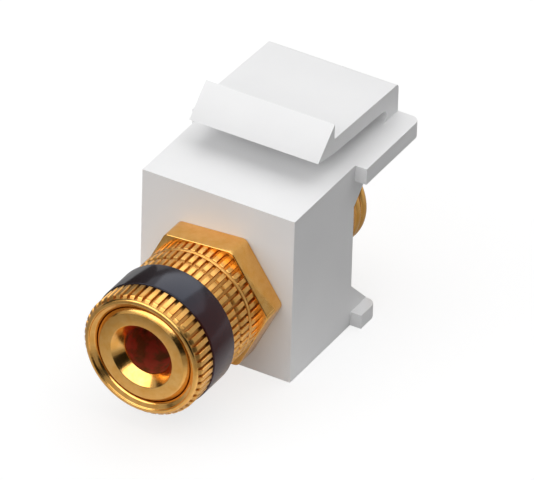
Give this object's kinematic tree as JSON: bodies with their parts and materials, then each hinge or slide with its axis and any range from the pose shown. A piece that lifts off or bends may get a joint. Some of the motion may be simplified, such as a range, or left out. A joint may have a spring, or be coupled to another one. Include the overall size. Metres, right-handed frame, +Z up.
{
  "type": "binding post",
  "caption": "Snap-in panel module holding a gold plated binding post: hex flange, knurled thumb nut with a dark colour band, plug socket and a rear stud with nuts.",
  "frame": {"origin": "on the post's axis, in the plane of the module's front face", "axes": "+Z up, +Y from the front face back into the module, +X to the right seen from the front; the socket opens towards -Y"},
  "size_m": [0.0166, 0.0309, 0.0206],
  "materials": {
    "white_plastic": "satin moulded",
    "gold_plate": "polished gold plate on turned brass",
    "dark_plastic": "glossy moulded"
  },
  "bodies": {
    "module": {"housing": "white_plastic", "post_body": "gold_plate", "flat_washer": "gold_plate", "lock_washer": "gold_plate", "mounting_nut": "gold_plate"},
    "latch": {"latch_arm": "white_plastic"},
    "clamp": {"clamp_washer": "gold_plate"},
    "thumb": {"thumb_nut": "gold_plate", "colour_band": "dark_plastic"},
    "terminal_clamp": {"terminal_washer": "gold_plate"},
    "terminal": {"terminal_nut": "gold_plate"}
  },
  "joints": [
    {"name": "latch_flex", "type": "hinge", "parent": "module", "child": "latch", "pos_m": [0, 0.01785, 0.00972], "axis": [1, 0, 0], "range_deg": [0, 9], "stiffness_Nm_per_rad": 0.4},
    {"name": "clamp_travel", "type": "slide", "parent": "module", "child": "clamp", "axis": [0, -1, 0], "range_m": [0, 0.0045]},
    {"name": "nut_turn", "type": "hinge", "parent": "clamp", "child": "thumb", "pos_m": [0, -0.008, 0], "axis": [0, -1, 0], "range_deg": [0, 1620]},
    {"name": "terminal_travel", "type": "slide", "parent": "module", "child": "terminal_clamp", "axis": [0, 1, 0], "range_m": [0, 0.0015]},
    {"name": "terminal_turn", "type": "hinge", "parent": "terminal_clamp", "child": "terminal", "pos_m": [0, 0.0158, 0], "axis": [0, 1, 0], "range_deg": [0, 540]}
  ],
  "couplings": [
    {"joint": "nut_turn", "follows": "clamp_travel", "rad_per_m": 6283.2},
    {"joint": "terminal_turn", "follows": "terminal_travel", "rad_per_m": 6283.2}
  ]
}
